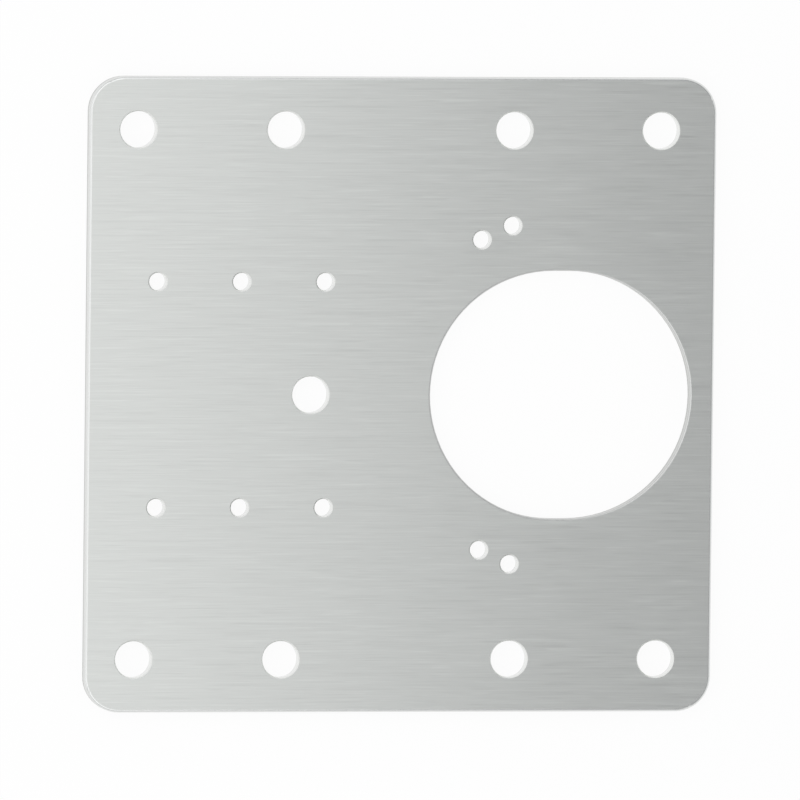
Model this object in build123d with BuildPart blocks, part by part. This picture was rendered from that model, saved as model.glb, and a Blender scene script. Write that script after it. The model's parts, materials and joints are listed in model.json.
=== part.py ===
from build123d import *
import os

# Hinge repair plate: one flat plate of stainless steel sheet that is screwed over the worn
# holes of a cabinet door, and gives the hinge new ones. It is blanked and punched from the
# front, so the front edges are rolled over and the back edges are only deburred.
#
# The plate lies with the middle of its back at the origin. X runs across it, from the side
# with the holes of the hinge's mounting plate to the side with the hinge cup, Y runs up it
# and +Z is the brushed front. All sizes are in millimetres.

os.makedirs("parts", exist_ok=True)

# Sheet
plate_width = 90.0
plate_height = 90.0
plate_thickness = 2.0
corner_radius = 5.0
outline_roll = 0.4  # radius of the front edge all round the outline
opening_roll = 0.25  # radius of the front edge round the cup opening
hole_break = 0.15  # bevel on the front edge of each screw hole
back_break = 0.15  # bevel that deburring leaves round the back

# Holes for the screws that fix the plate to the board: two rows of four, top and bottom
fixing_hole = 5.2
fixing_left_margin = 7.0  # from the left side to the first column
fixing_right_margin = 8.0  # from the last column to the right side
fixing_row_margin = 7.5  # from the top and the bottom side to each row
fixing_inner_spacing = 32.8  # between the inner columns

# Single hole on the middle line, as large as the fixing holes
middle_margin = 32.0  # from the left side

# Pilot holes for a hinge's mounting plate: two rows of three
pilot_hole = 2.5
mounting_margin = 10.0  # from the left side to the first column
mounting_pitch = 12.0
mounting_columns = 3
mounting_row_spacing = 32.0

# Opening for the hinge cup, lengthened along X so that the cup can be set nearer the edge
cup_diameter = 35.0
cup_clearance = 0.2  # how much wider than the cup the opening is
cup_travel = 2.2
cup_rim = 3.4  # metal between the opening and the right side

# Pilot holes for the cup's own screws, as two pairs left of the cup. Each offset is from
# the middle of a cup that stands at the inner end of its opening.
outer_pair_spacing = 48.0
outer_pair_offset = 6.0
inner_pair_spacing = 44.0
inner_pair_offset = 10.4

# Places that follow from the sizes above
left_side = -plate_width / 2
right_side = plate_width / 2
fixing_outer_spacing = plate_width - fixing_left_margin - fixing_right_margin
fixing_row_spacing = plate_height - 2 * fixing_row_margin
fixing_x = left_side + fixing_left_margin + fixing_outer_spacing / 2
middle_x = left_side + middle_margin
mounting_x = left_side + mounting_margin + mounting_pitch * (mounting_columns - 1) / 2
cup_opening = cup_diameter + cup_clearance
cup_x = right_side - cup_rim - (cup_opening + cup_travel) / 2
cup_inner_x = cup_x - cup_travel / 2

with BuildPart() as hinge_plate:
    # The blank
    with BuildSketch():
        RectangleRounded(plate_width, plate_height, corner_radius)
    extrude(amount=plate_thickness)
    fillet(hinge_plate.faces().sort_by(Axis.Z)[-1].edges(), radius=outline_roll)

    # Fixing holes and the middle hole
    with Locations((fixing_x, 0, plate_thickness)):
        with GridLocations(fixing_outer_spacing, fixing_row_spacing, 2, 2):
            Hole(fixing_hole / 2)
        with GridLocations(fixing_inner_spacing, fixing_row_spacing, 2, 2):
            Hole(fixing_hole / 2)
    with Locations((middle_x, 0, plate_thickness)):
        Hole(fixing_hole / 2)

    # Pilot holes for the mounting plate and for the cup
    with Locations((mounting_x, 0, plate_thickness)):
        with GridLocations(mounting_pitch, mounting_row_spacing, mounting_columns, 2):
            Hole(pilot_hole / 2)
    with Locations((cup_inner_x - outer_pair_offset, 0, plate_thickness)):
        with GridLocations(0, outer_pair_spacing, 1, 2):
            Hole(pilot_hole / 2)
    with Locations((cup_inner_x - inner_pair_offset, 0, plate_thickness)):
        with GridLocations(0, inner_pair_spacing, 1, 2):
            Hole(pilot_hole / 2)

    # Opening for the cup
    with BuildSketch(Plane.XY.offset(plate_thickness)):
        with Locations((cup_x, 0)):
            SlotCenterToCenter(cup_travel, cup_opening)
    extrude(amount=-plate_thickness, mode=Mode.SUBTRACT)

    # Edges: the opening is rolled over like the outline, and each screw hole is bevelled.
    # The back is deburred round the outline and the opening only.
    front_rims = hinge_plate.faces().sort_by(Axis.Z)[-1].inner_wires().sort_by(SortBy.LENGTH)
    fillet(front_rims[-1].edges(), radius=opening_roll)
    chamfer(front_rims[:-1].edges(), length=hole_break)
    back_rims = hinge_plate.faces().sort_by(Axis.Z)[0].wires().sort_by(SortBy.LENGTH)
    chamfer(back_rims[-2:].edges(), length=back_break)

hinge_plate.part.label = "hinge_plate"
export_step(hinge_plate.part, "parts/hinge_plate.step")
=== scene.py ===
# %% [markdown]
# # Dressing a hinge repair plate
# The real thing is one flat plate of stainless steel sheet. It is cut out and punched in a
# press, so it has a brushed front, a plainer back, and cut walls round its outline and holes.
# The imported solid already has every true form, and Blender adds what a solid can't say: how
# each of these surfaces was finished, and the light that shows it.
#
# The first step loads the solid as a fixed frame and measures its box.

# %% Load the frame
import json
from math import cos, pi, radians, sin
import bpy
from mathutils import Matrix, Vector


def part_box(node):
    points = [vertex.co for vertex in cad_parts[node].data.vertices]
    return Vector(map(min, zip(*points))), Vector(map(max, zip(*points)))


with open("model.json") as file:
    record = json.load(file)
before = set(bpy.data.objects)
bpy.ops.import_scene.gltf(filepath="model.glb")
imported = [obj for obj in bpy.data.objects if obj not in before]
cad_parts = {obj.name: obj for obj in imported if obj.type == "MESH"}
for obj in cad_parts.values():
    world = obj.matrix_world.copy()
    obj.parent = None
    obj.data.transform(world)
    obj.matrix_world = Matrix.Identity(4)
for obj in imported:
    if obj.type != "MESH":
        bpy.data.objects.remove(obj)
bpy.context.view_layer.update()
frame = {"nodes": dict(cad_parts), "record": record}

from types import SimpleNamespace

import bpy
import numpy as np
from mathutils import Matrix, Vector

plate = frame["nodes"]["hinge_plate"]
low, high = (Vector(corner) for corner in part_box("hinge_plate"))
plate_width = high.x - low.x
plate_thickness = high.z - low.z
middle_of_front = Vector(((low.x + high.x) / 2, (low.y + high.y) / 2, high.z))
mm = 0.001
opening = next(m for m in frame["record"]["mounts"] if m["name"] == "cup_opening")
cup_middle = Vector(opening["pos_m"])
cup_reach = opening["dims"]["slot_length_mm"] / 2 * mm  # from its middle to either end
print(f"plate: {plate_width / mm:.1f} mm wide and {plate_thickness / mm:.2f} mm thick")

# %% [markdown]
# ## Writing shader maths as Python
# A finish is a formula over the surface: lines that run one way, masks that say where a wall
# is, and mixes of them. Wired by hand it is dozens of nodes. Here a Wire stands for one
# output of a node, and its operators add Math nodes, so that 1 - mask is written as it reads.
# Every other node comes from Nodes.node, which takes its type, its settings and its inputs.

# %% A wire, and the nodes it belongs to
class Wire:
    """One output of a node. Arithmetic on it adds Math nodes beside it."""

    def __init__(self, nodes, socket):
        self.nodes = nodes
        self.socket = socket

    def maths(self, operation, first, second):
        return self.nodes.node("ShaderNodeMath", {"operation": operation}, {0: first, 1: second})

    def __add__(self, other):
        return self.maths("ADD", self, other)

    def __sub__(self, other):
        return self.maths("SUBTRACT", self, other)

    def __rsub__(self, other):
        return self.maths("SUBTRACT", other, self)

    def __mul__(self, other):
        return self.maths("MULTIPLY", self, other)

    __radd__ = __add__
    __rmul__ = __mul__


class Nodes:
    """The nodes of one material, or of the world."""

    def __init__(self, owner):
        owner.use_nodes = True
        self.owner = owner
        self.tree = owner.node_tree
        self.tree.nodes.clear()

    def node(self, kind, settings=None, inputs=None, output=0):
        """Add a node of this type, set its settings, fill its inputs, and return one output."""
        node = self.tree.nodes.new(kind)
        for name, value in (settings or {}).items():
            setattr(node, name, value)
        for name, value in (inputs or {}).items():
            if isinstance(value, Wire):
                self.tree.links.new(value.socket, node.inputs[name])
            else:
                node.inputs[name].default_value = value
        if output is None:
            return None
        return Wire(self, node.outputs[output])

    def step(self, value, start, end):
        """A smooth step from 0 to 1 as the value goes from start to end."""
        return self.node(
            "ShaderNodeMapRange",
            {"interpolation_type": "SMOOTHSTEP"},
            {"Value": value, "From Min": start, "From Max": end},
        )

    def mix(self, factor, first, second):
        """A colour that goes from the first to the second as the factor goes from 0 to 1."""
        return self.node(
            "ShaderNodeMix",
            {"data_type": "RGBA"},
            {"Factor": factor, 6: first, 7: second},
            output=2,
        )


print("ready to write finishes")

# %% [markdown]
# ## Lines that run one way
# Brushing leaves straight scratches that begin, run on for some millimetres and fade out. A
# noise stretched a long way along X gives straight lines that never end, and one stretched
# only a little gives wavy ones, like wood. So each size of scratch is a product of two: lines
# from end to end, and a window of shorter cells that lets each line show here and there. The
# real surface has a few sizes: hair lines, the marks of single grains, and broader bands
# where the belt pressed harder.

# %% Noise with cells of a chosen size
def cells(finish, place, size, detail=0.0):
    """Smooth noise from 0 to 1 whose cells measure size = (x, y, z) in metres.

    Each coordinate is divided by the cell's size along it before the noise is read."""
    x, y, z = place
    squeezed = finish.node(
        "ShaderNodeCombineXYZ",
        None,
        {"X": x * (1 / size[0]), "Y": y * (1 / size[1]), "Z": z * (1 / size[2])},
    )
    return finish.node(
        "ShaderNodeTexNoise",
        None,
        {"Vector": squeezed, "Scale": 1.0, "Detail": detail, "Roughness": 0.5},
    )


lines_per_window = 3  # how many times longer than its window a line is
window_starts, window_ends = 0.38, 0.62  # the part of the noise that the window is cut from


def scratches(finish, place, width, length):
    """Straight lines along X from -0.5 to 0.5, each of this width and shown over this length.

    The lines are a noise with cells three lengths long, less a half. The window that they are
    multiplied by is a noise with cells of the length wanted, sharpened to run from 0 to 1."""
    lines = cells(finish, place, (lines_per_window * length, width, plate_width)) - 0.5
    shown = cells(finish, place, (length, 2 * width, plate_width))
    return lines * finish.step(shown, window_starts, window_ends)


print("ready to draw brushed lines")

# %% [markdown]
# ## Stainless sheet
# The plate has three kinds of surface, and the direction that a surface faces tells them
# apart. What faces up is the brushed front. What faces down is the back, which keeps the
# dull skin of the rolling mill. What faces sideways is a cut wall: near the front the punch
# burnished it, and below that the metal tore and is matt. The front edge rolls over between
# face and wall; it is rubbed smooth, and its steel is lighter than real steel as a painted
# highlight. Two places differ: the rim of the cup opening gets a darker steel as painted shade,
# and the walls of the small screw holes a much lighter one as painted light that makes them
# read nearly white, so masks measured from the opening and from the plate's sides pick them out.

# %% Tell the surfaces apart
flat_starts, flat_ends = 0.985, 0.998  # how far up or down the skin of a flat face looks
wall_starts, wall_ends = 0.35, 0.05  # and how little a wall does
cup_rim_width = (1.6 * mm, 1.0 * mm)  # past the opening's end, where its mask fades in
side_margin = (2.0 * mm, 3.5 * mm)  # every screw hole lies farther in from the sides


def surfaces(sheet, place, upward):
    """Masks for the front, the back, the walls, the cup opening's rim and the screw holes.

    The front, back and walls follow from how far up the surface faces. The opening's rim is
    what lies near the middle of the cup, and a screw hole's edge is what is left inside the
    sides of the plate."""
    front = sheet.step(upward, flat_starts, flat_ends)
    back = sheet.step(upward, -flat_starts, -flat_ends)
    wall = sheet.step(upward, wall_starts, wall_ends) * sheet.step(upward, -wall_starts, -wall_ends)

    from_cup = sheet.node(
        "ShaderNodeCombineXYZ", None, {"X": place[0] - cup_middle.x, "Y": place[1] - cup_middle.y}
    )
    reach = sheet.node("ShaderNodeVectorMath", {"operation": "LENGTH"}, {0: from_cup}, output=1)
    cup_edge = sheet.step(reach, cup_reach + cup_rim_width[0], cup_reach + cup_rim_width[1])

    off = [sheet.node("ShaderNodeMath", {"operation": "ABSOLUTE"}, {0: place[i]}) for i in (0, 1)]
    farther = sheet.node("ShaderNodeMath", {"operation": "MAXIMUM"}, {0: off[0], 1: off[1]})
    half = plate_width / 2
    inside = sheet.step(farther, half - side_margin[0], half - side_margin[1])
    hole_edge = inside * (1 - cup_edge)
    return SimpleNamespace(
        front=front, back=back, wall=wall, cup_edge=cup_edge, hole_edge=hole_edge
    )


print(f"cup rim: {(cup_reach + cup_rim_width[1]) / mm:.1f} mm from the cup's middle")

# %% [markdown]
# ## Colours of the steel
# The same steel looks lighter or darker with its finish, so each surface has a colour of its
# own. Three colours are also painted light: the rolled edge is lighter as a painted highlight,
# the cup opening's rim is darker as painted shade, and the screw holes' walls are much lighter
# as painted light. The scratches go between a ridge and a groove that are close together,
# because brushed sheet is quiet: from some way off it is a sheen with a direction, not a
# pattern. The width and length of each size of scratch are in the order hair line, grain and band.

# %% Sizes and colours of the finish
hair_width, hair_length = 0.12 * mm, 3.0 * mm
grain_width, grain_length = 0.32 * mm, 5.0 * mm
band_width, band_length = 0.80 * mm, 14.0 * mm
mill_cloud = (9.0 * mm, 4.0 * mm, 9.0 * mm)
tear_line = (0.11 * mm, 0.11 * mm, 1.6 * mm)

ridge_steel = (0.660, 0.675, 0.655, 1.0)
groove_steel = (0.550, 0.562, 0.545, 1.0)
# the rolled edge: rubbed smooth, and lighter than real steel as a painted highlight
rubbed_and_painted_highlight_steel = (0.745, 0.755, 0.745, 1.0)
mill_steel = (0.560, 0.568, 0.560, 1.0)
# the cup opening's rim: darker steel as painted shade
painted_shade_cup_rim_steel = (0.600, 0.606, 0.596, 1.0)
burnished_steel = (0.670, 0.677, 0.665, 1.0)
# the screw holes' walls: much lighter steel as painted light, so that they read nearly white
painted_light_hole_steel = (0.800, 0.810, 0.795, 1.0)
torn_steel = (0.560, 0.565, 0.555, 1.0)

burnished_share = 0.45  # of the wall's height, measured down from the front
tear_rise = 0.5 * mm  # how far the tears reach up into the burnished part
tear_start, tear_end = 0.30 * mm, 0.12 * mm  # the height over which burnished turns torn
print("lightest steel:", painted_light_hole_steel[:3], "and darkest:", groove_steel[:3])

# %% [markdown]
# ## Putting the finish together
# The colour starts as scratches on the front and one steel on every edge. Each mask then
# mixes its own steel over that. The roughness is the same idea in numbers. The scratches, the
# skin of the back and the tears also go to a Bump node, only a few thousandths of a
# millimetre deep, so that they catch light as real ones do.

# %% Colour of each surface
def steel_colour(sheet, on, brushed, torn):
    """Scratches in front, and one steel each for the edges, the back and the torn wall."""
    streaks = sheet.mix(brushed, groove_steel, ridge_steel)
    # on the rolled edge the lighter steel is partly a painted highlight
    edge_steel = sheet.mix(on.wall, rubbed_and_painted_highlight_steel, burnished_steel)
    # painted shade on the cup opening's rim
    edge_steel = sheet.mix(on.cup_edge, edge_steel, painted_shade_cup_rim_steel)
    # painted light on the screw holes' walls
    edge_steel = sheet.mix(on.hole_edge, edge_steel, painted_light_hole_steel)
    colour = sheet.mix(on.front, edge_steel, streaks)
    colour = sheet.mix(on.back, colour, mill_steel)
    return sheet.mix(torn, colour, torn_steel)


print("ready to colour the steel")

# %% Roughness of each surface
smooth_edge, cup_rim_adds, tears_add, torn_adds = 0.20, 0.10, 0.06, 0.18
smooth_face, brushing_adds, back_adds, clouds_add = 0.30, 0.08, 0.06, 0.12


def steel_roughness(on, brushed, cloud, tears, torn):
    """The flat faces' roughness on the faces, and the edges' roughness on everything else."""
    faces = on.front + on.back
    edge = smooth_edge + on.cup_edge * cup_rim_adds + tears * tears_add + torn * torn_adds
    skin = on.back * (back_adds + cloud * clouds_add)
    face = smooth_face + on.front * brushed * brushing_adds + skin
    return faces * face + (1 - faces) * edge


print("roughness from", smooth_edge, "on an edge to", smooth_face + brushing_adds, "on the front")

# %% Paint the sheet
band_share = 0.5  # the bands are half as strong as the finer scratches
half_way = 0.5  # puts unmarked steel half way between groove and ridge
bump_depth = 0.004 * mm
front_bump, back_bump = 0.5, 0.2  # shares of that depth


def stainless_sheet():
    """Brushed front, mill back and punched walls, told apart by where the surface faces."""
    sheet = Nodes(bpy.data.materials.new("stainless_sheet"))
    where = sheet.node("ShaderNodeTexCoord", output=3)
    place = [sheet.node("ShaderNodeSeparateXYZ", None, {0: where}, output=i) for i in range(3)]
    facing = sheet.node("ShaderNodeTexCoord", output=1)
    upward = sheet.node("ShaderNodeSeparateXYZ", None, {0: facing}, output=2)
    on = surfaces(sheet, place, upward)

    hair = scratches(sheet, place, hair_width, hair_length)
    grain = scratches(sheet, place, grain_width, grain_length)
    band = scratches(sheet, place, band_width, band_length)
    brushed = hair + grain + band * band_share + half_way
    cloud = cells(sheet, place, mill_cloud, detail=2.0)
    tears = cells(sheet, place, tear_line, detail=1.0)

    tear_top = low.z + plate_thickness * (1 - burnished_share)
    torn = sheet.step(place[2] + tears * tear_rise, tear_top + tear_start, tear_top + tear_end)
    # the screw holes' walls get no tears, so their painted light runs all through them
    torn = torn * on.wall * (1 - on.hole_edge)

    height = on.front * (hair + grain) * front_bump + on.back * hair * back_bump + torn * tears
    bumps = sheet.node(
        "ShaderNodeBump",
        None,
        {"Strength": 1.0, "Distance": bump_depth, "Height": height},
    )
    steel = sheet.node(
        "ShaderNodeBsdfPrincipled",
        None,
        {
            "Base Color": steel_colour(sheet, on, brushed, torn),
            "Metallic": 1.0,
            "Roughness": steel_roughness(on, brushed, cloud, tears, torn),
            "Normal": bumps,
        },
    )
    sheet.node("ShaderNodeOutputMaterial", None, {"Surface": steel}, output=None)
    return sheet.owner


plate.data.materials.clear()
plate.data.materials.append(stainless_sheet())
print("stainless_sheet has", len(plate.data.materials[0].node_tree.nodes), "nodes")

# %% [markdown]
# ## Floor
# The plate lies on a white sweep. A floor of plain white paint never quite reads as white,
# so part of its shader glows with a strength of 1 for the rays that are seen, either by the
# camera or in the metal. The rest is white paint, which keeps the plate's soft shadow.

# %% Lay the floor
floor_radius = 3.0
floor_rings, floor_spokes = 6, 96
floor_glow = 0.92  # share of the shader that glows, for the rays that are seen
floor_paint = (0.95, 0.95, 0.95, 1.0)


def disc(name, radius, rings, spokes):
    """A flat disc on Z = 0: a point at ring r and spoke s stands at r (cos s, sin s)."""
    ring = np.linspace(0.0, radius, rings + 1)[1:]
    spoke = np.arange(spokes) * 2 * pi / spokes
    x = np.outer(ring, np.cos(spoke)).ravel()
    y = np.outer(ring, np.sin(spoke)).ravel()
    points = np.column_stack([x, y, np.zeros_like(x)])
    points = np.vstack([[0.0, 0.0, 0.0], points])
    near = 1 + np.arange(spokes)
    fan = np.column_stack([np.zeros(spokes, int), near, np.roll(near, -1)])
    inner = (1 + np.arange((rings - 1) * spokes)).reshape(rings - 1, spokes)
    outer = inner + spokes
    bands = np.stack([inner, outer, np.roll(outer, -1, 1), np.roll(inner, -1, 1)], axis=-1)
    mesh = bpy.data.meshes.new(name)
    mesh.from_pydata(points.tolist(), [], fan.tolist() + bands.reshape(-1, 4).tolist())
    mesh.update()
    thing = bpy.data.objects.new(name, mesh)
    bpy.context.scene.collection.objects.link(thing)
    return thing


def white_floor():
    """White paint, mixed with an even glow for camera, glossy and transmission rays."""
    floor = Nodes(bpy.data.materials.new("white_floor"))
    seen = [floor.node("ShaderNodeLightPath", output=i) for i in (0, 3, 6)]
    shown = floor.node(
        "ShaderNodeMath", {"operation": "MINIMUM"}, {0: seen[0] + seen[1] + seen[2], 1: 1.0}
    )
    paint = floor.node("ShaderNodeBsdfDiffuse", None, {"Color": floor_paint})
    glow = floor.node("ShaderNodeEmission", None, {"Color": (1, 1, 1, 1), "Strength": 1.0})
    both = floor.node("ShaderNodeMixShader", None, {0: shown * floor_glow, 1: paint, 2: glow})
    floor.node("ShaderNodeOutputMaterial", None, {"Surface": both}, output=None)
    return floor.owner


floor = disc("floor", floor_radius, floor_rings, floor_spokes)
floor.data.materials.append(white_floor())
print("floor:", len(floor.data.polygons), "faces")

# %% [markdown]
# ## Light
# Metal shows what stands around it, so light for metal is a choice of what it mirrors. The
# walls of this room are white and its ceiling is grey, so the rolled edges, which mirror the
# walls, come out lighter than the face, which mirrors the ceiling. A long soft key panel
# hangs over the left half of the plate. Past its right side the face mirrors the bare
# ceiling, and so it goes from bright on the left to darker on the right, and stays even from
# top to bottom. A wider and dimmer fill panel goes on from the key panel's left side, for
# what the left-hand rolled edge mirrors, so that this edge keeps a soft light line.

# %% Paint the room and hang the panels
wall_white = (1.0, 1.0, 1.0, 1.0)
ceiling_grey = (0.460, 0.463, 0.473, 1.0)
walls_end = 0.25  # how steeply a ray goes up where the walls begin to turn grey
ceiling_starts = 0.85  # and where it meets the plain ceiling
panel_height = 0.35
key_level, key_size, key_edge = 0.90, (0.25, 0.70), 0.058  # edge: the right side's x
fill_level, fill_size, fill_edge = 0.50, (0.60, 0.70), key_edge - key_size[0]


def paint_room():
    """White round the horizon and below it, smoothly darker towards the ceiling."""
    room = Nodes(bpy.data.worlds.new("room"))
    ray = room.node("ShaderNodeTexCoord", output=0)
    rise = room.node("ShaderNodeSeparateXYZ", None, {0: ray}, output=2)
    colour = room.mix(room.step(rise, walls_end, ceiling_starts), wall_white, ceiling_grey)
    light = room.node("ShaderNodeBackground", None, {"Color": colour})
    room.node("ShaderNodeOutputWorld", None, {"Surface": light}, output=None)
    return room.owner


def hang_panel(name, edge, height, size, level):
    """An area lamp that faces straight down, with its right side at x = edge.

    A flat lamp's brightness is its power over pi times its area."""
    lamp = bpy.data.lights.new(name, "AREA")
    lamp.shape = "RECTANGLE"
    lamp.size, lamp.size_y = size
    lamp.energy = level * pi * size[0] * size[1]
    panel = bpy.data.objects.new(name, lamp)
    panel.location = (edge - size[0] / 2, middle_of_front.y, height)
    panel.visible_camera = False
    bpy.context.scene.collection.objects.link(panel)
    return panel


bpy.context.scene.world = paint_room()
hang_panel("key_panel", key_edge, panel_height, key_size, key_level)
hang_panel("fill_panel", fill_edge, panel_height, fill_size, fill_level)
bpy.context.scene.view_settings.view_transform = "Standard"
print("key panel at", key_level, "and fill panel at", fill_level)

# %% [markdown]
# ## Camera
# The camera looks down on the plate from far off through a long lens, so that its sides stay
# almost parallel. It stands a little to the left and above, which shows the left wall and the
# right-hand walls of the holes, and it is turned slightly on its own axis.

# %% Place the camera
camera_left = radians(9.9)
camera_above = radians(3.4)
camera_roll = radians(0.62)
camera_distance = 3.0
plate_share = 0.795  # of the picture's width
aim_offset = Vector((-0.15 * mm, -0.72 * mm, 0.0))


def look_down(left, above, roll):
    """Three columns: the camera's right, its up, and the way back from the plate to it."""
    back = Vector((-sin(left) * cos(above), sin(above), cos(left) * cos(above)))
    right = Vector((0.0, 1.0, 0.0)).cross(back).normalized()
    up = back.cross(right)
    turned_right = cos(roll) * right + sin(roll) * up
    turned_up = cos(roll) * up - sin(roll) * right
    return turned_right, turned_up, back


lens = bpy.data.cameras.new("camera")
lens.lens = lens.sensor_width * camera_distance * plate_share / plate_width
lens.clip_start = 0.01
camera = bpy.data.objects.new("camera", lens)
right, up, back = look_down(camera_left, camera_above, camera_roll)
stand = middle_of_front + aim_offset + back * camera_distance
camera.matrix_world = Matrix.Translation(stand) @ Matrix((right, up, back)).transposed().to_4x4()
bpy.context.scene.collection.objects.link(camera)
bpy.context.scene.camera = camera
print(f"lens: {lens.lens:.0f} mm")

# %% Finish
print("finished")
